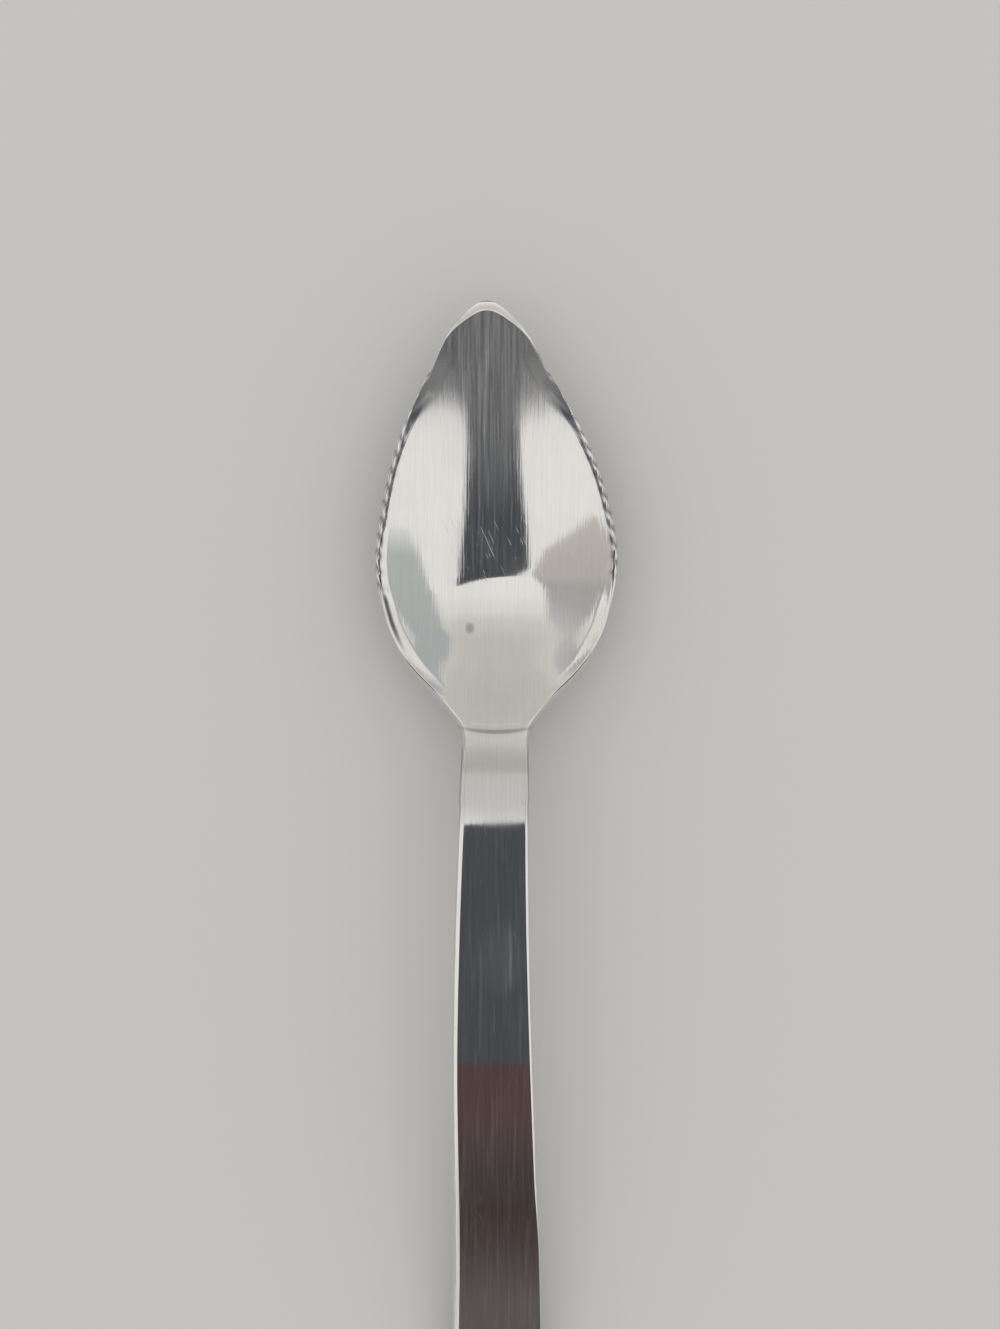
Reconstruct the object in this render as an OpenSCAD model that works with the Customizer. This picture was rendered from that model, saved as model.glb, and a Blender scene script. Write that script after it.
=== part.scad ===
// Grapefruit spoon: one blank of stainless sheet, pressed hollow, with a serrated leaf-shaped bowl.
// Lengths are in millimetres. The hollow faces +Z, the tip points to +Y, and the spoon stands on z = 0.
// A run is a distance from the tip towards the handle's end. A side is -1 on the left, 1 on the right.

/* [Bowl] */
// Length of the leaf shape, from the tip to its heel
leaf_l = 50; // [44:0.5:56]
// Width of the bowl across its widest place, over the teeth
bowl_w = 28; // [24:0.5:34]
// Depth of the bowl's underside below its rim
bowl_d = 6.4; // [5:0.1:8]
// Thickness of the sheet in the bowl
bowl_t = 1.1; // [0.9:0.05:1.4]
// Run from the tip to the deepest place
deep_run = 31; // [26:0.5:34]
// Height of the underside at the tip
tip_h = 7.4; // [5:0.1:10]
// Length from the leaf's heel to the neck, where the hollow has died out
neck_gap = 2; // [1:0.1:6]
// How far the tip leans to the left of the handle's line
tip_lean = 1.1; // [0:0.1:2]
// Width of the ground bevel round the tip
tip_bevel = 1.2; // [0.8:0.1:1.6]
// Width of the rim along the sides of the bowl
rim_band = 0.9; // [0.6:0.1:1.2]

/* [Teeth] */
// Pitch of the teeth, measured along the rim
tooth_pitch = 1.93; // [1.6:0.01:2.4]
// Depth of the gaps between the teeth
tooth_depth = 0.3; // [0.2:0.05:0.6]
// Run from the tip to the first tooth
teeth_from = 2.6; // [2:0.1:8]
// Run from the tip to the last gap on the right
teeth_to = 30.9; // [24:0.1:34]

/* [Handle] */
// Length of the whole spoon
spoon_l = 158; // [140:1:180]
// Width of the neck
neck_w = 7.4; // [6:0.1:9]
// Width of the handle at its end
end_w = 11.8; // [9:0.1:14]
// Thickness of the handle
handle_t = 1.7; // [1.3:0.1:2.2]
// Height of the underside at the neck
neck_h = 8.4; // [6:0.1:10]
// Run from the tip to the highest place of the handle
crest_run = 74; // [66:1:90]
// Height of the underside at the highest place
crest_h = 11; // [9:0.1:14]
// Length of the flat stretch at the end, on which the handle rests
foot_l = 8; // [5:0.5:14]
// Radius of the corners at the end
corner_r = 2.6; // [1.5:0.1:4]
// Width of the rounding along the handle's top edges
edge_band = 0.55; // [0.3:0.05:0.8]
// How far the neck bows to the left of the handle's line
neck_bow = 0.5; // [0:0.1:1]

/* [Hidden] */

half_bowl = bowl_w / 2;
half_neck = neck_w / 2;
neck_run = leaf_l + neck_gap;

// Outline of the leaf: shares of its length, with the shares of half its width
leaf_shares = [
    [0, 0], [0.043, 0.244], [0.18, 0.53], [0.316, 0.785], [0.452, 0.935],
    [0.59, 1], [0.726, 0.914], [0.816, 0.768], [0.908, 0.483], [1, 0]
];
// Size of the fillet between the leaf and the strap of the handle, as a share of the neck's width
fillet_share = 0.16;
// How much tighter the hollow curves where the bowl is narrow, as a share of half its width
tighten_share = 0.36;
// Where the hollow starts to die out, as a share of the run to the neck
fade_share = 0.74;
// Where the sheet starts to thicken towards the handle, as a share of the run to the neck
swell_share = 0.8;
// Rise of the spine: at the tip, over the deepest run, and at the neck, over the run from there
tip_rise_share = 2.1;
neck_rise_share = 0.8;
// How the handle flares: below 1 it widens soonest next to the neck
flare_power = 0.86;
// Where the lean of the tip ends, as a share of the leaf's length
lean_share = 0.56;
// Where the bow of the neck starts and ends, as shares of the whole length
bow_shares = [0.23, 0.73];
// What a bevel takes off the sheet at its very edge, as shares of the thickness
bevel_share = 0.45;
under_share = 0.2;
// How far the middle of the edge stands out, as a share of the thickness
bulge_share = 0.1;
// How far a tooth leans over the width of the rim, and round the edge, in pitches
lean_over = 0.7;
lean_round = 0.35;
// Length over which the teeth start and stop, in pitches
window_pitches = 0.8;

// Steps across one side of the hollow and over the rim, and rings to a tooth
hollow_steps = 5;
band_steps = 2;
tooth_rings = 5;
tip_rings = 7;
heel_rings = 15;
handle_rings = 17;
corner_rings = 6;

// Short step that slopes are measured over
probe = bowl_t / 50;

function ease(t) = let (c = min(max(t, 0), 1)) c * c * (3 - 2 * c);

// Cubic from h0 to h1 as t goes from 0 to 1, leaving with rise r0 and arriving with rise r1
function bend(t, h0, r0, h1, r1) =
    h0 * (2 * t * t * t - 3 * t * t + 1) + r0 * (t * t * t - 2 * t * t + t)
    + h1 * (3 * t * t - 2 * t * t * t) + r1 * (t * t * t - t * t);

// Smooth curve through the leaf's shares, whose widths are squared so that both ends come out round
function leaf_square(i) = leaf_shares[i][1] * leaf_shares[i][1];
function leaf_slope(i) =
    let (last = len(leaf_shares) - 1, a = max(i - 1, 0), b = min(i + 1, last))
    (leaf_square(b) - leaf_square(a)) / (leaf_shares[b][0] - leaf_shares[a][0]);
function leaf_piece(share) =
    max([for (i = [0 : len(leaf_shares) - 2]) leaf_shares[i][0] <= share ? i : 0]);
function leaf_curve(share) =
    let (
        i = leaf_piece(share),
        span = leaf_shares[i + 1][0] - leaf_shares[i][0],
        t = (share - leaf_shares[i][0]) / span
    )
    bend(t, leaf_square(i), leaf_slope(i) * span, leaf_square(i + 1), leaf_slope(i + 1) * span);
function leaf_half(run) =
    half_bowl * sqrt(max(leaf_curve(min(max(run / leaf_l, 0), 1)), 0));

// Half width of the handle's strap, with its rounded corners at the end
function strap_flare(run) =
    half_neck + (end_w - neck_w) / 2 * pow(max(run - neck_run, 0) / (spoon_l - neck_run), flare_power);
function corner_cut(run) =
    let (past = max(run - (spoon_l - corner_r), 0))
    corner_r - sqrt(max(corner_r * corner_r - past * past, 0));
function strap_half(run) = strap_flare(run) - corner_cut(run);

// Half width of the whole blank: the leaf and the strap, joined by a fillet
function half_w(run) =
    run < deep_run ? leaf_half(run)
    : let (leaf = leaf_half(run), strap = strap_half(run), fillet = neck_w * fillet_share)
      run > leaf_l + neck_w ? strap
      : (leaf + strap + sqrt((leaf - strap) * (leaf - strap) + fillet * fillet)) / 2;
function half_slope(run) = (half_w(run + probe) - half_w(run)) / probe;

// Place of the spoon's middle line, to the left of zero where the tip leans and the neck bows
function middle_x(run) =
    let (
        from = bow_shares[0] * spoon_l,
        to = bow_shares[1] * spoon_l,
        bow = sin(180 * min(max((run - from) / (to - from), 0), 1))
    )
    -tip_lean * (1 - ease(run / (lean_share * leaf_l))) - neck_bow * bow * bow;

// Height of the underside along the middle line: belly, neck, crest and foot
function spine_z(run) =
    run < deep_run ? bend(run / deep_run, tip_h, -tip_h * tip_rise_share, 0, 0)
    : run < neck_run
        ? bend((run - deep_run) / (neck_run - deep_run), 0, 0, neck_h, neck_h * neck_rise_share)
    : run < crest_run
        ? bend((run - neck_run) / (crest_run - neck_run), neck_h,
               neck_h * neck_rise_share * (crest_run - neck_run) / (neck_run - deep_run), crest_h, 0)
    : run < spoon_l - foot_l
        ? bend((run - crest_run) / (spoon_l - foot_l - crest_run), crest_h, 0, 0, 0)
    : 0;

// Height of the underside: the sections are parabolas, tighter where the bowl is narrow
function hollow(run) =
    let (tight = tighten_share * half_bowl)
    bowl_d * (1 - ease((run - fade_share * neck_run) / (neck_run - fade_share * neck_run)))
    * (half_bowl + tight) / (half_w(run) + tight) / (half_bowl * half_bowl);
function floor_z(x, run) = spine_z(run) + hollow(run) * x * x;
function floor_normal(x, run) =
    let (
        across = 2 * hollow(run) * x,
        along = (floor_z(x, run + probe) - floor_z(x, run)) / probe
    )
    [-across, along, 1] / norm([-across, along, 1]);

// Distance in from the outline, near enough for the bevels that follow it
function edge_gap(x, run) =
    let (half = half_w(run), turn = half * half_slope(run))
    min((half * half - x * x) / (2 * norm([turn, x]) + probe), spoon_l - run);

// Thickness of the sheet, and the bevel on its top edge
function sheet_t(run) =
    bowl_t + (handle_t - bowl_t) * ease((run - swell_share * neck_run) / (neck_run - swell_share * neck_run));
function band_w(run) =
    run < deep_run ? rim_band + (tip_bevel - rim_band) * (1 - ease(run / (4 * tip_bevel)))
    : rim_band + (edge_band - rim_band) * ease((run - deep_run) / (neck_run - deep_run));
function bevelled(gap, run) = 1 - min(max(gap / band_w(run), 0), 1);

// Distance along the rim, summed in short steps
rim_step = tooth_pitch / 4;
rim_count = ceil(neck_run / rim_step);
rim_table = [
    for (i = 0, sum = 0;
         i <= rim_count;
         sum = sum + norm([rim_step, half_w(rim_step * (i + 1)) - half_w(rim_step * i)]), i = i + 1)
        [rim_step * i, sum]
];
function rim_run(run) = lookup(run, rim_table);
last_gap = rim_run(teeth_to);

// The gaps lie on a slant, like the strands of a rope, and the left side has one tooth more
function teeth_window(side, run) =
    let (
        fade = window_pitches * tooth_pitch,
        to = rim_run(teeth_to) + (side < 0 ? tooth_pitch : 0) + fade / 2
    )
    ease((run - teeth_from) / fade) * ease((to - rim_run(run)) / fade * 2);
function tooth_gap(side, run, lean) =
    tooth_depth * teeth_window(side, run)
    * (1 - abs(sin(180 * ((rim_run(run) - last_gap) / tooth_pitch + side * lean))));

// Place across the blank of step i, from -last to last: even over the hollow, then over the rim
function inner_half(run) =
    let (half = half_w(run), slope = half_slope(run))
    max(half - band_w(run) * norm([1, slope]), half / 2);
function across(i, run) =
    let (half = half_w(run), inner = inner_half(run), a = abs(i))
    sign(i) * (a <= hollow_steps ? inner * a / hollow_steps
                                 : inner + (half - inner) * (a - hollow_steps) / band_steps);

// Point of the pressed sheet, level 0 on the underside and 1 on top
function sheet_point(i, run, level) =
    let (
        side = sign(i),
        over = max(abs(i) - hollow_steps, 0) / band_steps,
        x0 = across(i, run),
        gap0 = edge_gap(x0, run),
        lean = lean_over * (1 - over) + lean_round * (1 - level),
        cut = over > 0 ? tooth_gap(side, run, lean) * over : 0,
        slope = half_slope(run),
        inward = cut / norm([1, slope]),
        bulge = over < 1 || level == 0 || level == 1 ? 0 : bulge_share * sheet_t(run),
        x = x0 - side * (inward - bulge),
        at = run + (over > 0 ? inward * min(slope, 1) : 0),
        thick = sheet_t(run),
        bevel = bevelled(gap0, run),
        low = under_share * thick * bevel,
        high = thick * (1 - bevel_share * bevel) - cut * (over < 1 ? 1 : 0),
        foot = [x + middle_x(run), spoon_l / 2 - at, floor_z(x, run) + low * (1 - level)]
    )
    foot + high * level * floor_normal(x, run);

// One ring round the blank at a run: the underside left to right, the edge, the top, the edge
last = hollow_steps + band_steps;
function ring(run) = concat(
    [for (i = [-last : last]) sheet_point(i, run, 0)],
    [sheet_point(last, run, 0.5)],
    [for (i = [last : -1 : -last]) sheet_point(i, run, 1)],
    [sheet_point(-last, run, 0.5)]
);
ring_n = 4 * last + 4;

// Runs of the rings: crowded at the tip, over the teeth and at the end's corners
tip_zone = teeth_from;
teeth_zone = teeth_to + 2 * tooth_pitch;
teeth_n = ceil((teeth_zone - tip_zone) / tooth_pitch * tooth_rings);
corner_zone = spoon_l - corner_r;
runs = concat(
    [for (k = [1 : tip_rings]) tip_zone * pow((k - 0.6) / (tip_rings - 0.6), 2)],
    [for (k = [1 : teeth_n]) tip_zone + (teeth_zone - tip_zone) * k / teeth_n],
    [for (k = [1 : heel_rings]) teeth_zone + (neck_run - teeth_zone) * k / heel_rings],
    [for (k = [1 : handle_rings]) neck_run + (spoon_l - foot_l - neck_run) * k / handle_rings],
    [for (k = [0 : corner_rings - 1]) corner_zone + (corner_r - edge_band) * sin(90 * k / corner_rings)],
    [spoon_l - edge_band, spoon_l]
);

// The ends are closed by strips between the underside and the top
function strip(start, flip) = [
    for (i = [0 : 2 * last - 1])
        let (
            a = start + i, b = start + i + 1,
            c = start + ring_n - 2 - i - 1, d = start + ring_n - 2 - i
        )
        each (flip ? [[a, b, c], [a, c, d]] : [[a, c, b], [a, d, c]])
];
function strip_edges(start, flip) =
    let (
        low_l = start, low_r = start + 2 * last, mid_r = low_r + 1,
        top_r = low_r + 2, mid_l = start + ring_n - 1, top_l = mid_l - 1
    )
    flip ? [[low_r, mid_r, top_r], [low_l, top_l, mid_l]]
         : [[low_r, top_r, mid_r], [low_l, mid_l, top_l]];

module spoon() {
    far = (len(runs) - 1) * ring_n;
    color("silver")
        polyhedron(
            points = [for (run = runs) each ring(run)],
            faces = concat(
                strip(0, true),
                strip_edges(0, true),
                [for (k = [0 : len(runs) - 2], i = [0 : ring_n - 1])
                    let (
                        a = k * ring_n + i, b = k * ring_n + (i + 1) % ring_n,
                        c = b + ring_n, d = a + ring_n
                    )
                    each [[a, c, b], [a, d, c]]],
                strip(far, false),
                strip_edges(far, false)
            ),
            convexity = 6
        );
}

spoon();
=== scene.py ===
import math

import bpy
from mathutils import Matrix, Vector


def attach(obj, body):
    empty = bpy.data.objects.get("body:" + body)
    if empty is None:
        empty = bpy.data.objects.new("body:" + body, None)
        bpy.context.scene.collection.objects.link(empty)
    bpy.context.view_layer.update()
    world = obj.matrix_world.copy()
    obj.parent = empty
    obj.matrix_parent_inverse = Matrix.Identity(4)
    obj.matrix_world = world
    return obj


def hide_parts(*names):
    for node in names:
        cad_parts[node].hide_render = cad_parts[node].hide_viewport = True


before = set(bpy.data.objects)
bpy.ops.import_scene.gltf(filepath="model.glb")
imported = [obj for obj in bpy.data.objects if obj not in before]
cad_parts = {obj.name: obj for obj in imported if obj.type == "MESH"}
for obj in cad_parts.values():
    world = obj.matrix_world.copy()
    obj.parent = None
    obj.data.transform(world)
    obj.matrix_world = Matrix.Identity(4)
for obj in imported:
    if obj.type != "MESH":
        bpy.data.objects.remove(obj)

bpy.ops.object.select_all(action="DESELECT")
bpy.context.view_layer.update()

# Camera: straight above the spoon, tip up, the handle running out of the bottom of the picture.
# The lens gives the rim of the bowl its size in a picture 1000 wide and 1329 high.
MM = 0.001
PICTURE_H = 1329
PIXELS_PER_MM = 8.79
RIM_Z = 7.5 * MM
CAMERA_X = 0.4 * MM
CAMERA_Y = 37.65 * MM
CAMERA_Z = 200 * MM
SENSOR = 36.0
NEAREST_SEEN = 10 * MM

camera_data = bpy.data.cameras.new("camera")
camera = bpy.data.objects.new("camera", camera_data)
bpy.context.collection.objects.link(camera)
camera.location = (CAMERA_X, CAMERA_Y, CAMERA_Z)
camera_data.sensor_width = SENSOR
camera_data.lens = SENSOR * PIXELS_PER_MM / MM * (CAMERA_Z - RIM_Z) / PICTURE_H
camera_data.clip_start = NEAREST_SEEN
bpy.context.scene.camera = camera
bpy.context.scene.view_settings.view_transform = "Standard"


# Spoon: one blank of stainless sheet, cut out, thinned at the bowl, ground to a bevel round the tip
# and serrated along both sides of the bowl, then pressed: the bowl hollow, the handle in an S curve.
# Its lengths are in millimetres, and a run is a distance from the tip along the spoon.
LEAF_L = 50
HALF_BOWL = 14
BOWL_D = 6.4
BOWL_T = 1.1
DEEP_RUN = 31
TIP_H = 7.4
NECK_RUN = LEAF_L + 2
TIP_LEAN = 1.1
TIP_BEVEL = 1.2
TIP_BEVEL_END = 0.15
RIM_BAND = 0.9
HEEL_BAND = 0.5
TOOTH_PITCH = 1.93
TOOTH_DEPTH = 0.3
TEETH_FROM = 2.6
TEETH_TO = 30.9
SPOON_L = 158
HALF_NECK = 3.7
HALF_END = 5.9
HANDLE_T = 1.7
NECK_H = 8.4
CREST_RUN = 74
CREST_H = 11
FOOT_L = 8
CORNER_R = 2.6
EDGE_BAND = 0.55
NECK_BOW = 0.5
LEAF = [(0, 0), (0.043, 0.244), (0.18, 0.53), (0.316, 0.785), (0.452, 0.935),
        (0.59, 1), (0.726, 0.914), (0.816, 0.768), (0.908, 0.483), (1, 0)]
FILLET = 0.16 * 2 * HALF_NECK
TIGHT = 0.36 * HALF_BOWL
FADE_RUN = 0.74 * NECK_RUN
SWELL_RUN = 0.8 * NECK_RUN
TIP_RISE = 2.1 * TIP_H
NECK_RISE = 0.8 * NECK_H
FLARE_POWER = 0.86
LEAN_RUN = 0.56 * LEAF_L
BOW_RUNS = (0.23 * SPOON_L, 0.73 * SPOON_L)
HEEL_RUNS = (DEEP_RUN, NECK_RUN)
PROBE = 0.02


def ease(t):
    t = min(max(t, 0), 1)
    return t * t * (3 - 2 * t)


def grown(run, stretch):
    """How far a run is through a stretch of runs: 0 before it, 1 past it, eased in between."""
    start, end = stretch
    return ease((run - start) / (end - start))


def blend(first, last, share):
    return first + (last - first) * share


def cubic(t, h0, r0, h1, r1):
    """From h0 to h1, leaving with rise r0 and arriving with rise r1."""
    return (h0 * (2 * t ** 3 - 3 * t * t + 1) + r0 * (t ** 3 - 2 * t * t + t)
            + h1 * (3 * t * t - 2 * t ** 3) + r1 * (t ** 3 - t * t))


def leaf_half(run):
    """Half width of the leaf, a smooth curve through its squared widths."""
    share = min(max(run / LEAF_L, 0), 1)
    last = len(LEAF) - 1
    i = max(k for k in range(last) if LEAF[k][0] <= share)

    def slope(k):
        a, b = max(k - 1, 0), min(k + 1, last)
        return (LEAF[b][1] ** 2 - LEAF[a][1] ** 2) / (LEAF[b][0] - LEAF[a][0])

    span = LEAF[i + 1][0] - LEAF[i][0]
    square = cubic((share - LEAF[i][0]) / span, LEAF[i][1] ** 2, slope(i) * span,
                   LEAF[i + 1][1] ** 2, slope(i + 1) * span)
    return HALF_BOWL * math.sqrt(max(square, 0))


def strap_half(run):
    flare = (max(run - NECK_RUN, 0) / (SPOON_L - NECK_RUN)) ** FLARE_POWER
    past = max(run - (SPOON_L - CORNER_R), 0)
    corner = CORNER_R - math.sqrt(max(CORNER_R ** 2 - past ** 2, 0))
    return blend(HALF_NECK, HALF_END, flare) - corner


def half_width(run):
    if run < DEEP_RUN:
        return leaf_half(run)
    strap = strap_half(run)
    if run > LEAF_L + 2 * HALF_NECK:
        return strap
    leaf = leaf_half(run)
    return (leaf + strap + math.hypot(leaf - strap, FILLET)) / 2


def middle_x(run):
    bow = math.sin(math.pi * min(max((run - BOW_RUNS[0]) / (BOW_RUNS[1] - BOW_RUNS[0]), 0), 1))
    return -TIP_LEAN * (1 - ease(run / LEAN_RUN)) - NECK_BOW * bow * bow


def spine_z(run):
    """Height of the underside along the middle: belly, neck, crest and foot."""
    if run < DEEP_RUN:
        return cubic(run / DEEP_RUN, TIP_H, -TIP_RISE, 0, 0)
    heel = NECK_RUN - DEEP_RUN
    if run < NECK_RUN:
        return cubic((run - DEEP_RUN) / heel, 0, 0, NECK_H, NECK_RISE)
    rise = CREST_RUN - NECK_RUN
    if run < CREST_RUN:
        return cubic((run - NECK_RUN) / rise, NECK_H, NECK_RISE * rise / heel, CREST_H, 0)
    fall = SPOON_L - FOOT_L - CREST_RUN
    return cubic(min((run - CREST_RUN) / fall, 1), CREST_H, 0, 0, 0)


def hollow(run):
    fade = 1 - grown(run, (FADE_RUN, NECK_RUN))
    return BOWL_D * fade * (HALF_BOWL + TIGHT) / (half_width(run) + TIGHT) / HALF_BOWL ** 2


# The rim: a band along it that turns over into a lip, and on the lip, outside, a narrow flatter ledge
BEVEL_NARROWS = (0, 4.5)
BAND_STARTS = (8, 13)
HEEL_BAND_STARTS = (DEEP_RUN, DEEP_RUN + 5)
HEEL_BAND_ENDS = (40, 50)
LEDGE = 0.3
LEDGE_MORE = 0.5
LEDGE_NARROWS = (11, 19)
LEDGE_ENDS = (25, 30)


def band_width(run):
    if run < DEEP_RUN:
        bevel = blend(TIP_BEVEL, TIP_BEVEL_END, grown(run, BEVEL_NARROWS))
        return blend(bevel, RIM_BAND, grown(run, BAND_STARTS))
    heel = HEEL_BAND * grown(run, HEEL_BAND_STARTS) * (1 - grown(run, HEEL_BAND_ENDS))
    return RIM_BAND + heel + (EDGE_BAND - RIM_BAND) * grown(run, HEEL_RUNS)


def ledge_width(run):
    return (LEDGE + LEDGE_MORE * (1 - grown(run, LEDGE_NARROWS))) * (1 - grown(run, LEDGE_ENDS))


def sheet_thickness(run):
    return blend(BOWL_T, HANDLE_T, grown(run, (SWELL_RUN, NECK_RUN)))


# Distance along the rim, for teeth of an even pitch
RIM_STEP = 0.25
rim_sums = [0.0]
while RIM_STEP * len(rim_sums) < NECK_RUN:
    done = RIM_STEP * (len(rim_sums) - 1)
    rim_sums.append(rim_sums[-1] + math.hypot(RIM_STEP, half_width(done + RIM_STEP) - half_width(done)))


def rim_run(run):
    place = min(run / RIM_STEP, len(rim_sums) - 1.001)
    k = int(place)
    return blend(rim_sums[k], rim_sums[k + 1], place - k)


# Ground edges: narrow at the tip, wider along the handle, each side worn in its own way
TIP_CHAMFER = 0.24
RIGHT_TIP_LESS = 0.14
RIGHT_TIP_STARTS = (0, 3)
RIGHT_TIP_ENDS = (9, 13)
RIGHT_CHAMFER = 0.5
RIGHT_WORN_SHARE = 0.5
RIGHT_NARROWS = (98, 108)
LEFT_CHAMFER = 0.72
LEFT_MORE = 0.25
LEFT_WIDENS = (85, 110)
LEFT_END_LESS = 0.4
LEFT_NARROWS = (146, 154)


def chamfer_width(side, run):
    if run < DEEP_RUN:
        less = RIGHT_TIP_LESS * grown(run, RIGHT_TIP_STARTS) * (1 - grown(run, RIGHT_TIP_ENDS))
        return TIP_CHAMFER - less * (side > 0)
    if side > 0:
        return RIGHT_CHAMFER * (1 - RIGHT_WORN_SHARE * grown(run, RIGHT_NARROWS))
    return LEFT_CHAMFER + LEFT_MORE * grown(run, LEFT_WIDENS) - LEFT_END_LESS * grown(run, LEFT_NARROWS)


# The rounding of the rim, how far in the finer columns reach, and the slopes of the lip and the ledge
LIP_FILLET = 0.2
TIP_FILLET_SHARE = 0.35
ROUND_IN = 0.7
ROUND_TIP_SHARE = 0.12
ROUND_STARTS = (4, 18)
ROUND_HEEL_SHARE = 0.4
ROUND_ENDS = (DEEP_RUN, DEEP_RUN + 6)
FINE_MORE = 0.15
FINE_LEAST = 0.5
FINE_CHAMFERS = 1.4
TIP_SLOPE = -0.1
TIP_SLOPE_END = -0.16
TIP_SLOPE_FALLS = (2, 5)
TIP_SLOPE_ENDS = (7, 10)
LIP_SLOPE = 0.5
LIP_STARTS = (14, 22)
LEDGE_SLOPE = 0.27
LEDGE_LIES_DOWN = (8, 13.5)
LEDGE_GETS_UP = (24, 29)


def fillet(past, length=LIP_FILLET):
    """How far a line has bent away, past the start of a rounded bend."""
    past = max(past, 0)
    return past * past / (2 * length) if past < length else past - length / 2


class Row:
    """What is the same all across the blank at one run."""

    def __init__(self, run):
        self.run = run
        self.half = half_width(run)
        self.slope = (half_width(run + PROBE) - self.half) / PROBE
        self.lean = math.hypot(1, self.slope)
        self.middle = middle_x(run)
        self.spine = spine_z(run)
        self.hollow = hollow(run)
        self.band = band_width(run)
        self.thick = sheet_thickness(run)
        self.rim = rim_run(run)
        self.tilt = grown(run, HEEL_RUNS)
        self.bead = ROUND_IN * blend(ROUND_TIP_SHARE, 1, grown(run, ROUND_STARTS))
        self.bead *= blend(1, ROUND_HEEL_SHARE, grown(run, ROUND_ENDS))
        least = FINE_LEAST if run < DEEP_RUN else FINE_CHAMFERS * chamfer_width(-1, run)
        fine = max(self.band + self.bead + FINE_MORE, least)
        self.inner = max(self.half - fine * self.lean, self.half / 2)
        spine_slope = (spine_z(run + PROBE) - self.spine) / PROBE
        hollow_slope = (hollow(run + PROBE) - self.hollow) / PROBE
        along = spine_slope + hollow_slope * self.half ** 2
        self.wall = (2 * self.hollow * self.half - self.slope * along) / self.lean
        lip = blend(self.wall, LIP_SLOPE, grown(run, LIP_STARTS))
        tip_slope = blend(TIP_SLOPE, TIP_SLOPE_END, grown(run, TIP_SLOPE_FALLS))
        self.lip = min(blend(lip, tip_slope, 1 - grown(run, TIP_SLOPE_ENDS)), self.wall)
        self.lip_fillet = LIP_FILLET * blend(TIP_FILLET_SHARE, 1, grown(run, BAND_STARTS))
        laid = grown(run, LEDGE_LIES_DOWN) * (1 - grown(run, LEDGE_GETS_UP))
        self.ledge = min(blend(self.lip, LEDGE_SLOPE, laid), self.lip)

    def gap(self, x):
        """Distance from the rim, or from the end of the handle."""
        turn = self.half * self.slope
        near = (self.half ** 2 - x * x) / (2 * math.hypot(turn, x) + PROBE)
        return min(near, SPOON_L - self.run)

    def floor(self, x):
        """Height of the underside: the hollow, laid over near the rim into a lip and a ledge."""
        gap = self.gap(x) - self.bead
        lip = (self.wall - self.lip) * fillet(self.band - gap, self.lip_fillet)
        ledge = (self.lip - self.ledge) * fillet(ledge_width(self.run) - gap, LIP_FILLET / 2)
        return self.spine + self.hollow * x * x - lip - ledge

    def normal(self, x, ahead):
        """The way the sheet has its thickness: straight up in the bowl, square to it past the neck."""
        across = (self.floor(x + PROBE) - self.floor(x - PROBE)) / (2 * PROBE)
        along = (ahead.floor(x) - self.floor(x)) / PROBE
        return Vector((-across * self.tilt, along * self.tilt, 1)).normalized()


# Teeth: cuts across the rounded rim, leaning like the strands of a rope. The left side has one more.
STRAND_LEAN = 0.7
CUT_END = 0.4 * TOOTH_PITCH
FIRST_CUT_SHARE = 0.15
CUTS_DEEPEN = (8, 20)


def teeth_window(side, rim):
    end = rim_run(TEETH_TO) + (TOOTH_PITCH if side < 0 else 0) + CUT_END
    start = ease((rim - TEETH_FROM) / TOOTH_PITCH) * blend(FIRST_CUT_SHARE, 1, grown(rim, CUTS_DEEPEN))
    return start * ease((end - rim) / CUT_END)


def tooth_phase(row):
    return (row.rim - rim_run(TEETH_TO)) / TOOTH_PITCH


def groove(side, over, row, level):
    """How deep the saw cuts here: 1 in the bottom of a cut, 0 on the crown of a tooth."""
    phase = tooth_phase(row) - side * STRAND_LEAN * (1 - level) * over ** 4
    return teeth_window(side, row.rim) * over ** 4 * (1 - abs(math.sin(math.pi * phase)))


# Painted shade: a dark mask in the corner inside the teeth, which the teeth break up, and a dark sliver
# inside the lower left of the rim, which is a painted dark reflection
SHADE_PAST_BEAD = 0.1
SHADE_WIDER = 0.7
SHADE_NARROWS = (10, 16)
SHADE_TIP_WIDER = 0.5
SHADE_TIP_NARROWS = (6, 11)
SHADE_SOFT = 0.25
SHADE_TIP_SOFT = 1.2
SHADE_SHARPENS = (10, 15)
SHADE_STARTS = (3.5, 10)
SHADE_TIP_SHARE = 0.65
SHADE_DARKENS = (9.5, 13)
SHADE_ENDS = (27, 31)
SHADE_LEVELS = (0.8, 0.95)
SHADE_CROWN_SHARE = 0.8
SHADE_CROWN_STARTS = (12, 18)
SLIVER_STARTS = (32.2, 34.2)
SLIVER_ENDS = (37, 41.5)
SLIVER_GAP = 0.35
SLIVER_WIDTH = 0.45
SLIVER_OUTER_SOFT = 0.2
SLIVER_INNER_SOFT = 0.3


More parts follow.
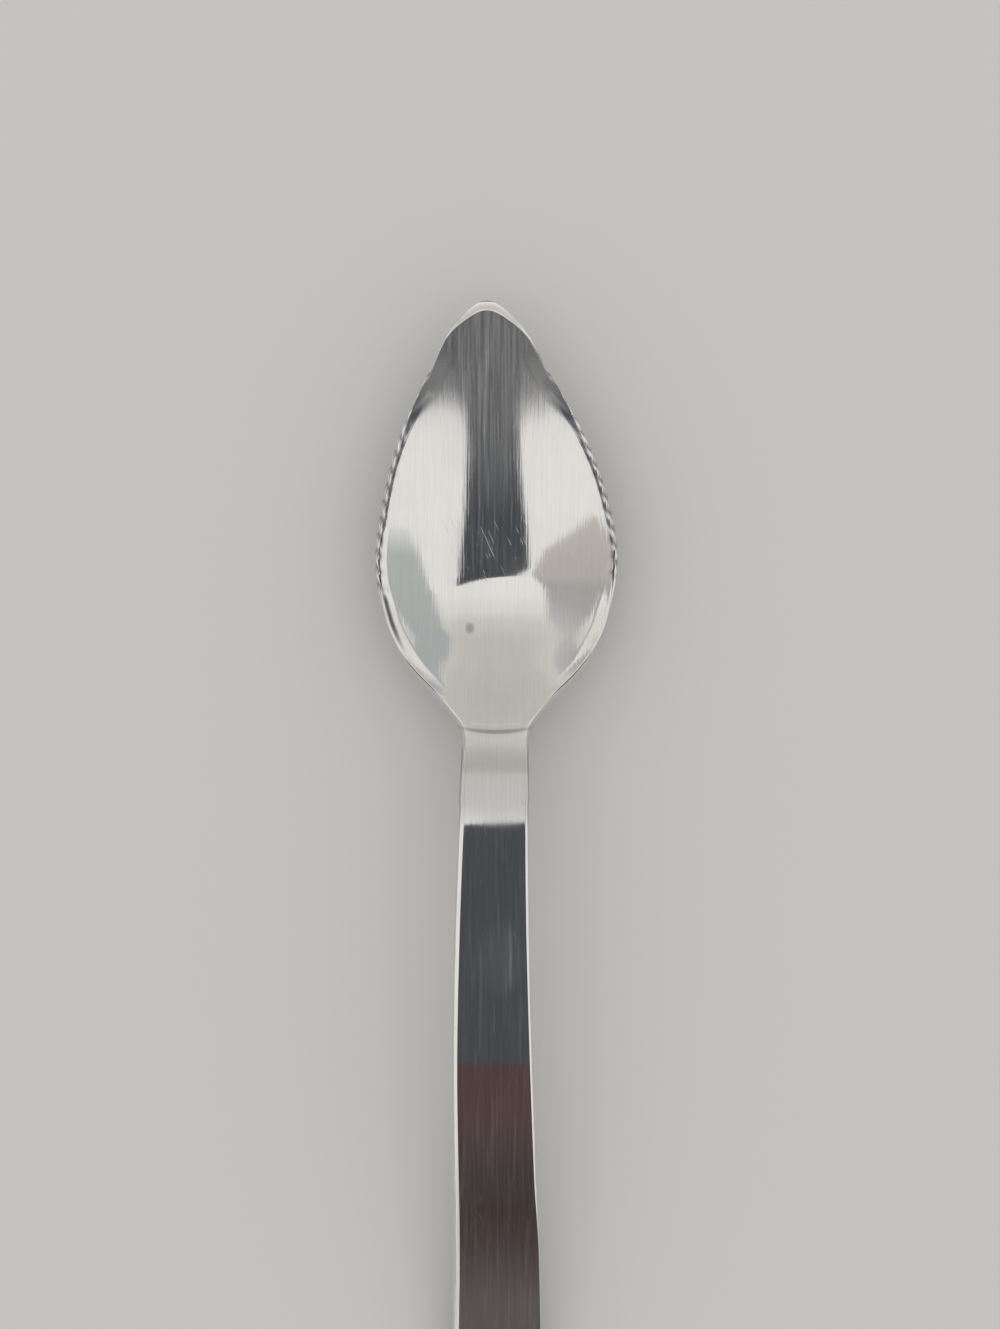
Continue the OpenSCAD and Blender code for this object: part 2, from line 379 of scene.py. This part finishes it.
def painted_shade(x, row, level):
    gap = row.gap(x)
    width = row.bead + SHADE_PAST_BEAD + SHADE_WIDER * (1 - grown(row.run, SHADE_NARROWS))
    width += SHADE_TIP_WIDER * (1 - grown(row.run, SHADE_TIP_NARROWS))
    soft = blend(SHADE_TIP_SOFT, SHADE_SOFT, grown(row.run, SHADE_SHARPENS))
    corner = grown(row.run, SHADE_STARTS) * (1 - grown(row.run, SHADE_ENDS)) * grown(level, SHADE_LEVELS)
    corner *= blend(SHADE_TIP_SHARE, 1, grown(row.run, SHADE_DARKENS)) * (1 - ease((gap - width) / soft))
    phase = tooth_phase(row) + math.copysign(STRAND_LEAN, x) * (gap / row.bead - 1)
    crown = math.sin(math.pi * phase) ** 4
    corner *= 1 - SHADE_CROWN_SHARE * crown * grown(row.run, SHADE_CROWN_STARTS)
    along = grown(row.run, SLIVER_STARTS) * (1 - grown(row.run, SLIVER_ENDS))
    sliver = along * ease((gap - SLIVER_GAP) / SLIVER_OUTER_SOFT)
    sliver *= 1 - ease((gap - SLIVER_GAP - SLIVER_WIDTH * along) / SLIVER_INNER_SOFT)
    return max(corner, sliver * (x < 0))


# Crease: the shallow line that the press leaves across the neck, where the handle starts
CREASE_RUN = 48.95
CREASE_BEND = 0.028
CREASE_WIDTH = 0.34
CREASE_DEPTH = 0.02
CREASE_ENDS = (2.4, 3.6)


def crease(x, run):
    off = abs(run - CREASE_RUN + CREASE_BEND * x * x) / CREASE_WIDTH
    return CREASE_DEPTH * (1 - ease(off)) * (1 - grown(x, CREASE_ENDS))


# The flat block whose points press() moves to their places on the spoon: columns across the hollow,
# finer ones along the rim, and steps up through the sheet
HOLLOW_STEPS = 16
BAND_STEPS = 12
EDGE_STEPS = 10
LAST = HOLLOW_STEPS + BAND_STEPS
CHAMFER_FLARE = 1.17
THIN_EDGE = 0.75
EDGE_THICKENS = (10, 24)
TIP_GRINDING_ENDS = (9, 16)
HANDLE_GRINDING_STARTS = (46, 52)
CUT_TOP_LESS = 0.7
CUTS_LEAVE_TOP = (23, 27)
END_CHAMFER = 0.6
END_SHARE = 0.6


def press(column, row, ahead, level):
    """Place of a point of the pressed blank, its groove and its painted shade; level 0 underneath, 1 on top.
    """
    side = (column > 0) - (column < 0)
    over = max(abs(column) - HOLLOW_STEPS, 0) / BAND_STEPS
    turn = level * math.pi / 2
    if over > 0:
        x = blend(row.inner, row.half, over)
    else:
        x = row.inner * abs(column) / HOLLOW_STEPS
    rounded = row.bead * (1 - math.cos(turn)) * over
    thin = THIN_EDGE * over ** 2 * (1 - grown(row.run, EDGE_THICKENS))
    up = row.thick * (1 - (1 - math.sin(turn)) * (1 - thin)) - level * crease(x, row.run)
    width = chamfer_width(side or 1, row.run)
    chamfer = CHAMFER_FLARE * fillet(width / CHAMFER_FLARE - row.thick + up)
    ground = max(1 - grown(row.run, TIP_GRINDING_ENDS), grown(row.run, HANDLE_GRINDING_STARTS))
    cut = groove(side, over, row, level)
    cut_here = TOOTH_DEPTH * cut * (1 - level * blend(CUT_TOP_LESS, 1, grown(row.run, CUTS_LEAVE_TOP)))
    inward = (blend(rounded, chamfer * over, ground) + cut_here) / row.lean
    x = side * (x - inward)
    end = max(row.run - SPOON_L + EDGE_BAND, 0) / EDGE_BAND * (1 - over)
    run = row.run + inward * min(row.slope, 1) * (over > 0) - END_SHARE * min(chamfer, END_CHAMFER) * end
    place = Vector((x + row.middle, SPOON_L / 2 - run, row.floor(x)))
    return (place + row.normal(x, ahead) * up) * MM, cut, painted_shade(x, row, level)


def spread(start, end, count):
    return [start + (end - start) * k / count for k in range(1, count + 1)]


TIP_ROWS = 26
FIRST_ROW = 0.1
TEETH_ROWS = 200
HEEL_ROWS = 46
CREASE_ROWS = 20
NECK_ROWS = 8
HANDLE_ROWS = 110
CORNER_ROWS = 12
END_ROWS = 6
CREASE_REACH = 0.8
SHARP_EDGE = math.radians(50)
teeth_end = TEETH_TO + 2 * TOOTH_PITCH
corner_run = SPOON_L - CORNER_R
runs = [TEETH_FROM * ((k + FIRST_ROW) / TIP_ROWS) ** 2 for k in range(TIP_ROWS)]
runs += spread(runs[-1], teeth_end, TEETH_ROWS)
runs += spread(teeth_end, CREASE_RUN - CREASE_REACH, HEEL_ROWS)
runs += spread(CREASE_RUN - CREASE_REACH, CREASE_RUN + CREASE_REACH, CREASE_ROWS)
runs += spread(CREASE_RUN + CREASE_REACH, NECK_RUN, NECK_ROWS)
runs += spread(NECK_RUN, corner_run, HANDLE_ROWS)
runs += [corner_run + (CORNER_R - EDGE_BAND) * math.sin(math.pi / 2 * k / CORNER_ROWS)
         for k in range(1, CORNER_ROWS)]
runs += spread(SPOON_L - EDGE_BAND, SPOON_L, END_ROWS)
rows = [(Row(run), Row(run + PROBE)) for run in runs]

bpy.ops.mesh.primitive_grid_add(x_subdivisions=2 * LAST, y_subdivisions=len(rows) - 1, size=2)
spoon = bpy.context.object
spoon.name = "pressed_spoon"
bpy.ops.object.mode_set(mode="EDIT")
bpy.ops.mesh.select_all(action="SELECT")
bpy.ops.mesh.extrude_region_move(TRANSFORM_OT_translate={"value": (0, 0, 1)})
for step in range(1, EDGE_STEPS):
    bpy.ops.mesh.select_all(action="SELECT")
    bpy.ops.mesh.bisect(plane_co=(0, 0, step / EDGE_STEPS), plane_no=(0, 0, 1))
bpy.ops.object.mode_set(mode="OBJECT")
cuts = spoon.data.attributes.new("groove", "FLOAT", "POINT")
painted_shades = spoon.data.attributes.new("painted_shade", "FLOAT", "POINT")
# Each point gets its place, the depth of its cut and its painted shade
for vertex in spoon.data.vertices:
    column = round(vertex.co.x * LAST)
    row = rows[round((1 - vertex.co.y) / 2 * (len(rows) - 1))]
    place, cut, film_and_painted_shade = press(column, *row, vertex.co.z)
    vertex.co = place
    cuts.data[vertex.index].value = cut
    painted_shades.data[vertex.index].value = film_and_painted_shade
bpy.ops.object.mode_set(mode="EDIT")
bpy.ops.mesh.select_all(action="SELECT")
bpy.ops.mesh.normals_make_consistent(inside=False)
bpy.ops.object.mode_set(mode="OBJECT")
bpy.ops.object.shade_smooth_by_angle(angle=SHARP_EDGE)

# Worn brushed stainless steel, with painted shade in the crease, in the tooth cuts, across the neck and
# along the rim
BLACK = (0, 0, 0, 1)
STEEL_COLOUR = (0.76, 0.74, 0.71, 1)
# Colour of the painted shade and painted dark reflection along the rim
PAINTED_SHADE_COLOUR = (0.078, 0.085, 0.094, 1)
steel = bpy.data.materials.new("worn_stainless")
steel.use_nodes = True
sheet = steel.node_tree
steel_inputs = sheet.nodes["Principled BSDF"].inputs


def shader_group(name, inputs):
    """A node group with these number inputs and one output, the mask."""
    made = bpy.data.node_groups.new(name, "ShaderNodeTree")
    for label, value in inputs.items():
        made.interface.new_socket(label, in_out="INPUT", socket_type="NodeSocketFloat").default_value = value
    made.interface.new_socket("Mask", in_out="OUTPUT", socket_type="NodeSocketFloat")
    return made, made.nodes.new("NodeGroupInput").outputs, made.nodes.new("NodeGroupOutput").inputs["Mask"]


def math_node(tree, operation, first, second):
    node = tree.nodes.new("ShaderNodeMath")
    node.operation = operation
    for socket, value in zip(node.inputs, (first, second)):
        if isinstance(value, (int, float)):
            socket.default_value = value
        else:
            tree.links.new(value, socket)
    return node.outputs[0]


def colour_mix(tree, share, first, second):
    """A colour between two; each value is a colour or the output of a node."""
    node = tree.nodes.new("ShaderNodeMix")
    node.data_type = "RGBA"
    for label, value in (("Factor", share), ("A", first), ("B", second)):
        if isinstance(value, tuple):
            node.inputs[label].default_value = value
        else:
            tree.links.new(value, node.inputs[label])
    return node.outputs["Result"]


# Marks stretched along one way: brush lines, streaks of film, scratches
marks, given, mask = shader_group(
    "stretched_marks", {"Width": 0.3, "Length": 5, "Turn": 0, "From": 0.4, "To": 0.6})
place = marks.nodes.new("ShaderNodeTexCoord")
frame_of_marks = marks.nodes.new("ShaderNodeMapping")
frame_of_marks.vector_type = "TEXTURE"
size_of_marks = marks.nodes.new("ShaderNodeCombineXYZ")
turn_of_marks = marks.nodes.new("ShaderNodeCombineXYZ")
noise = marks.nodes.new("ShaderNodeTexNoise")
noise.inputs["Scale"].default_value = 1
noise.inputs["Detail"].default_value = 2
cut_off = marks.nodes.new("ShaderNodeMapRange")
cut_off.interpolation_type = "SMOOTHSTEP"
marks.links.new(place.outputs["Object"], frame_of_marks.inputs["Vector"])
marks.links.new(math_node(marks, "MULTIPLY", given["Width"], MM), size_of_marks.inputs["X"])
marks.links.new(math_node(marks, "MULTIPLY", given["Length"], MM), size_of_marks.inputs["Y"])
marks.links.new(math_node(marks, "MULTIPLY", given["Length"], MM), size_of_marks.inputs["Z"])
marks.links.new(size_of_marks.outputs["Vector"], frame_of_marks.inputs["Scale"])
marks.links.new(given["Turn"], turn_of_marks.inputs["Z"])
marks.links.new(turn_of_marks.outputs["Vector"], frame_of_marks.inputs["Rotation"])
marks.links.new(frame_of_marks.outputs["Vector"], noise.inputs["Vector"])
marks.links.new(noise.outputs["Fac"], cut_off.inputs["Value"])
marks.links.new(given["From"], cut_off.inputs["From Min"])
marks.links.new(given["To"], cut_off.inputs["From Max"])
marks.links.new(cut_off.outputs["Result"], mask)

# A soft spot, or with a bend and a wide reach a line, at one place on the spoon
spot, given, mask = shader_group("soft_spot", {"X": 0, "Run": 0, "Reach X": 1, "Reach Run": 1, "Bend": 0})
place = spot.nodes.new("ShaderNodeTexCoord")
parts = spot.nodes.new("ShaderNodeSeparateXYZ")
spot.links.new(place.outputs["Object"], parts.inputs["Vector"])
aside = math_node(spot, "SUBTRACT", math_node(spot, "DIVIDE", parts.outputs["X"], MM), given["X"])
run_here = math_node(spot, "SUBTRACT", SPOON_L / 2, math_node(spot, "DIVIDE", parts.outputs["Y"], MM))
down = math_node(spot, "SUBTRACT", run_here, given["Run"])
sag = math_node(spot, "MULTIPLY", math_node(spot, "MULTIPLY", aside, aside), given["Bend"])
down = math_node(spot, "ADD", down, sag)
far_x = math_node(spot, "POWER", math_node(spot, "DIVIDE", aside, given["Reach X"]), 2.0)
far_run = math_node(spot, "POWER", math_node(spot, "DIVIDE", down, given["Reach Run"]), 2.0)
fall = spot.nodes.new("ShaderNodeMapRange")
fall.interpolation_type = "SMOOTHSTEP"
fall.inputs["From Min"].default_value = 1.0
fall.inputs["From Max"].default_value = 0.0
spot.links.new(math_node(spot, "ADD", far_x, far_run), fall.inputs["Value"])
spot.links.new(fall.outputs["Result"], mask)


def use(group, **settings):
    """The mask of one of the groups, with these settings."""
    node = sheet.nodes.new("ShaderNodeGroup")
    node.node_tree = group
    for label, value in settings.items():
        node.inputs[label.replace("_", " ")].default_value = value
    return node.outputs["Mask"]


def plus(first, second):
    return math_node(sheet, "ADD", first, second)


def times(first, second):
    return math_node(sheet, "MULTIPLY", first, second)


def scaled(value, amount, base=0):
    return plus(times(value, amount), base)


brushed = use(marks, Width=0.22, Length=9, From=0.25, To=0.75)
fine_brushed = use(marks, Width=0.09, Length=5, From=0.2, To=0.8)
film_and_painted_shade = use(marks, Width=0.32, Length=8, From=0.5, To=0.72)
bowl_film = use(spot, X=-0.5, Run=17, Reach_X=7, Reach_Run=20)
slanted = use(marks, Width=0.12, Length=3.5, Turn=math.radians(24), From=0.69, To=0.76)
counter = use(marks, Width=0.1, Length=3, Turn=math.radians(-35), From=0.72, To=0.78)
smudge = use(marks, Width=6, Length=8, Turn=0.6, From=0.4, To=0.65)
tip_dull = use(spot, X=0, Run=4, Reach_X=26, Reach_Run=21)
bowl_scratches = use(spot, X=0, Run=28, Reach_X=9, Reach_Run=7)
stain = use(spot, X=-3.1, Run=37.1, Reach_X=0.7, Reach_Run=0.85)
# Painted shade along the crease across the neck, partly grime
crease_grime_and_shade = use(spot, X=0, Run=CREASE_RUN, Reach_X=5.5, Reach_Run=CREASE_WIDTH, Bend=CREASE_BEND)
# Painted shade across the neck, standing in for a darker reflection; this mask also makes the neck rougher
neck_dull_and_shade = use(spot, X=0, Run=54.6, Reach_X=30, Reach_Run=5.4)
handle_smear = use(spot, X=0.6, Run=74, Reach_X=3.2, Reach_Run=5)
# A second, narrower band of painted shade across the neck
neck_shade_band = use(spot, X=0, Run=52.1, Reach_X=30, Reach_Run=1.9)
# Painted shade in the bottoms of the tooth cuts, as deep as each cut
cut_shade = sheet.nodes.new("ShaderNodeAttribute")
cut_shade.attribute_name = "groove"
# Painted shade and painted dark reflection along the rim, read from the points
painted_shade_mask = sheet.nodes.new("ShaderNodeAttribute")
painted_shade_mask.attribute_name = "painted_shade"

# Scratches: slanted ones, most of them across the middle of the bowl and some on the smear of the
# handle, and a few that slant the other way
SCRATCHED = 0.12
BOWL_SCRATCHED = 0.8
SMEAR_SCRATCHED = 0.35
COUNTER_SCRATCHED = 0.25
scratched = plus(scaled(bowl_scratches, BOWL_SCRATCHED, SCRATCHED), scaled(handle_smear, SMEAR_SCRATCHED))
scratches = math_node(sheet, "MAXIMUM", times(slanted, scratched), times(counter, COUNTER_SCRATCHED))

# Haze: how far the metal turns dull, first along the brush lines, everywhere and more at the tip;
# then in streaks of film, in the smear of the handle, in the scratches and in the painted shade of the rim
HAZE = 0.022
TIP_HAZE = 0.13
SHARE_OFF_LINES = 0.5
MORE_ON_LINES = 1.1
FILM_HAZE = 0.03
BOWL_FILM_HAZE = 0.07
SMEAR_HAZE = 0.025
SMEAR_FILM_HAZE = 0.05
SCRATCH_HAZE = 0.35
PAINTED_SHADE_HAZE = 0.85
haze = times(scaled(tip_dull, TIP_HAZE, HAZE), scaled(brushed, MORE_ON_LINES, SHARE_OFF_LINES))
haze = plus(haze, times(film_and_painted_shade, scaled(bowl_film, BOWL_FILM_HAZE, FILM_HAZE)))
haze = plus(haze, times(handle_smear, scaled(film_and_painted_shade, SMEAR_FILM_HAZE, SMEAR_HAZE)))
haze = plus(haze, scaled(scratches, SCRATCH_HAZE))
haze = math_node(sheet, "MAXIMUM", haze, scaled(painted_shade_mask.outputs["Fac"], PAINTED_SHADE_HAZE))
sheet.links.new(math_node(sheet, "SUBTRACT", 1.0, haze), steel_inputs["Metallic"])

# Colour: each mark takes its share of the light away; the crease line (grime and painted shade), the two
# neck bands and the bottoms of the tooth cuts are painted shade, and the painted shade of the rim has a dark
# colour of its own
BRUSHED_DARKER = 0.04
clean = scaled(brushed, -BRUSHED_DARKER, 1.0)
for mark, darker in (
        (fine_brushed, 0.04), (smudge, 0.03), (stain, 0.4), (crease_grime_and_shade, 0.42), (neck_dull_and_shade, 0.3),
        (neck_shade_band, 0.18), (cut_shade.outputs["Fac"], 0.6)):
    clean = times(clean, scaled(mark, -darker, 1.0))
bare = colour_mix(sheet, clean, BLACK, STEEL_COLOUR)
with_painted_shade = colour_mix(sheet, painted_shade_mask.outputs["Fac"], bare, PAINTED_SHADE_COLOUR)
sheet.links.new(with_painted_shade, steel_inputs["Base Color"])

ROUGHNESS = 0.05
SMUDGE_ROUGHNESS = 0.03
NECK_ROUGHNESS = 0.03
TIP_ROUGHNESS = 0.05
dullness = scaled(smudge, SMUDGE_ROUGHNESS, ROUGHNESS)
dullness = plus(dullness, scaled(neck_dull_and_shade, NECK_ROUGHNESS))
dullness = plus(dullness, scaled(tip_dull, TIP_ROUGHNESS))
sheet.links.new(dullness, steel_inputs["Roughness"])

# Relief: the brush lines stand up and the scratches are cut in, in shares of the relief's depth
RELIEF_DEPTH = 0.012 * MM
BRUSHED_UP = 0.25
FINE_BRUSHED_UP = 0.12
SCRATCHED_DOWN = 0.5
relief = plus(scaled(brushed, BRUSHED_UP), scaled(fine_brushed, FINE_BRUSHED_UP))
relief = math_node(sheet, "SUBTRACT", relief, scaled(scratches, SCRATCHED_DOWN))
bumps = sheet.nodes.new("ShaderNodeBump")
bumps.inputs["Strength"].default_value = 1.0
bumps.inputs["Distance"].default_value = RELIEF_DEPTH
sheet.links.new(relief, bumps.inputs["Height"])
sheet.links.new(bumps.outputs["Normal"], steel_inputs["Normal"])
spoon.data.materials.append(steel)
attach(spoon, "root")
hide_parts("spoon")


# Floor: a plain pale table top under the spoon
TABLE_SIZE = 4000 * MM
TABLE_Z = -0.05 * MM
TABLE_COLOUR = (0.546, 0.539, 0.521, 1)
TABLE_ROUGHNESS = 0.9
bpy.ops.mesh.primitive_plane_add(size=TABLE_SIZE, location=(0, 0, TABLE_Z))
floor = bpy.context.object
floor.name = "floor"
table = bpy.data.materials.new("pale_table")
table.use_nodes = True
table.node_tree.nodes["Principled BSDF"].inputs["Base Color"].default_value = TABLE_COLOUR
table.node_tree.nodes["Principled BSDF"].inputs["Roughness"].default_value = TABLE_ROUGHNESS
floor.data.materials.append(table)

# Light: an even white sky, which the polished metal mirrors; the side past the tip is duller.
# Cards round the spoon give it something darker to mirror. They and the dull side show only in
# reflections, so the floor stays evenly lit. Past its edge the camera sees the floor's tone.
WHITE = (1, 1, 1, 1)
SKY_STRENGTH = 1.0
SKY_SHADES = ((0.34, (1, 1, 1)), (0.54, (0.91, 0.90, 0.88)), (0.68, (0.75, 0.735, 0.71)),
              (0.78, (0.66, 0.65, 0.63)), (0.95, (0.62, 0.61, 0.59)))


def fill_ramp(ramp, stops):
    """Give a new colour ramp these stops, each one (place, colour)."""
    ramp.elements[0].position = stops[0][0]
    ramp.elements[0].color = (*stops[0][1], 1)
    ramp.elements[1].position = stops[-1][0]
    ramp.elements[1].color = (*stops[-1][1], 1)
    for place, colour in stops[1:-1]:
        ramp.elements.new(place).color = (*colour, 1)


world = bpy.data.worlds.new("studio")
bpy.context.scene.world = world
world.use_nodes = True
room = world.node_tree
direction = room.nodes.new("ShaderNodeTexCoord")
axes = room.nodes.new("ShaderNodeSeparateXYZ")
dull = room.nodes.new("ShaderNodeValToRGB")
dull.color_ramp.interpolation = "EASE"
fill_ramp(dull.color_ramp, SKY_SHADES)
path = room.nodes.new("ShaderNodeLightPath")
room.links.new(direction.outputs["Generated"], axes.inputs["Vector"])
room.links.new(axes.outputs["Y"], dull.inputs["Fac"])
sky = colour_mix(room, path.outputs["Is Glossy Ray"], WHITE, dull.outputs["Color"])
backdrop = colour_mix(room, path.outputs["Is Camera Ray"], sky, TABLE_COLOUR)
room.links.new(backdrop, room.nodes["Background"].inputs["Color"])
room.nodes["Background"].inputs["Strength"].default_value = SKY_STRENGTH


def card(name, shades, corners):
    """A card with these corners, in millimetres, that shows only in reflections.

    Its colour runs through the shades, each one (y in millimetres, colour).
    """
    bpy.ops.mesh.primitive_circle_add(vertices=len(corners), fill_type="NGON")
    made = bpy.context.object
    made.name = name
    for vertex, corner in zip(made.data.vertices, corners):
        vertex.co = Vector(corner) * MM
    made.visible_camera = False
    made.visible_diffuse = False
    made.visible_transmission = False
    made.visible_volume_scatter = False
    made.visible_shadow = False
    paint = bpy.data.materials.new(name)
    paint.use_nodes = True
    tree = paint.node_tree
    where = tree.nodes.new("ShaderNodeTexCoord")
    parts = tree.nodes.new("ShaderNodeSeparateXYZ")
    across = tree.nodes.new("ShaderNodeMapRange")
    across.inputs["From Min"].default_value = shades[0][0] * MM
    across.inputs["From Max"].default_value = shades[-1][0] * MM
    ramp = tree.nodes.new("ShaderNodeValToRGB")
    reach = shades[-1][0] - shades[0][0]
    fill_ramp(ramp.color_ramp, [((y - shades[0][0]) / reach, colour) for y, colour in shades])
    glow = tree.nodes.new("ShaderNodeEmission")
    tree.links.new(where.outputs["Object"], parts.inputs["Vector"])
    tree.links.new(parts.outputs["Y"], across.inputs["Value"])
    tree.links.new(across.outputs["Result"], ramp.inputs["Fac"])
    tree.links.new(ramp.outputs["Color"], glow.inputs["Color"])
    tree.links.new(glow.outputs["Emission"], tree.nodes["Material Output"].inputs["Surface"])
    made.data.materials.append(paint)


# Dark card overhead. Its end over the tip is mirrored twice, as the lower end of the stripe in the
# bowl and as the upper end of the dark part of the handle. Its sides are the sides of the stripe.
# Towards the handle's end it widens, which makes the dark arch that runs up to the tip.
DARK_Z = 200
DARK = (0.062, 0.070, 0.084)
DARK_CORNERS = (
    (126, 104), (71, 79), (30, 66), (-10, 61), (-98, 57),
    (-88, 20), (-89, 0), (-110, -28), (-150, -50), (-258, -88), (-390, -143), (-900, -343), (-900, -900),
    (900, -900), (900, -243), (430, -105), (315, -75), (241, -57), (145, -33), (98, -20), (88, 0),
    (94, 30), (108, 47), (118, 70))
card("dark_card", ((0, DARK), (1, DARK)), [(x, y, DARK_Z) for x, y in DARK_CORNERS])

# Brown card just under the dark one, mirrored by the lower part of the handle
BROWN_Z = DARK_Z - 1
BROWN_HALF = 120
BROWN_SHADES = (
    (-600, (0.13, 0.11, 0.115)), (-228, (0.12, 0.10, 0.105)), (-208, (0.065, 0.045, 0.045)),
    (-190, (0.05, 0.032, 0.03)), (-165, (0.055, 0.042, 0.042)), (-141, (0.088, 0.05, 0.053)),
    (-98, (0.09, 0.048, 0.048)))
BROWN_TOP = BROWN_SHADES[-1][0]
BROWN_BOTTOM = BROWN_SHADES[0][0]
card("brown_card", BROWN_SHADES, [
    (BROWN_HALF, BROWN_TOP, BROWN_Z), (-BROWN_HALF, BROWN_TOP, BROWN_Z),
    (-BROWN_HALF, BROWN_BOTTOM, BROWN_Z), (BROWN_HALF, BROWN_BOTTOM, BROWN_Z)])

# Grey cards, upright, far out at both sides. Each makes the patch on the wall of the bowl that
# faces it and is named after that patch, so the card called left stands on the right.
WALL_X = 600
LEFT_PATCH_SHADES = ((25, (0.80, 0.82, 0.82)), (54, (0.54, 0.58, 0.57)), (650, (0.50, 0.54, 0.55)))
LEFT_PATCH_CORNERS = (
    (20, 110), (20, 300), (44, 370), (97, 440), (346, 480), (586, 450), (680, 400), (700, 435),
    (900, 500), (900, 110))
card("left_card", LEFT_PATCH_SHADES, [(WALL_X, y, z) for y, z in LEFT_PATCH_CORNERS])
RIGHT_PATCH_SHADES = (
    (-40, (0.66, 0.63, 0.60)), (70, (0.60, 0.57, 0.55)), (250, (0.47, 0.475, 0.47)),
    (400, (0.49, 0.495, 0.49)), (640, (0.64, 0.645, 0.64)))
RIGHT_PATCH_CORNERS = (
    (40, 130), (-30, 200), (-11, 334), (7, 451), (34, 725), (60, 860), (107, 1046), (316, 710),
    (551, 567), (640, 540), (640, 130))
card("right_card", RIGHT_PATCH_SHADES, [(-WALL_X, y, z) for y, z in RIGHT_PATCH_CORNERS])
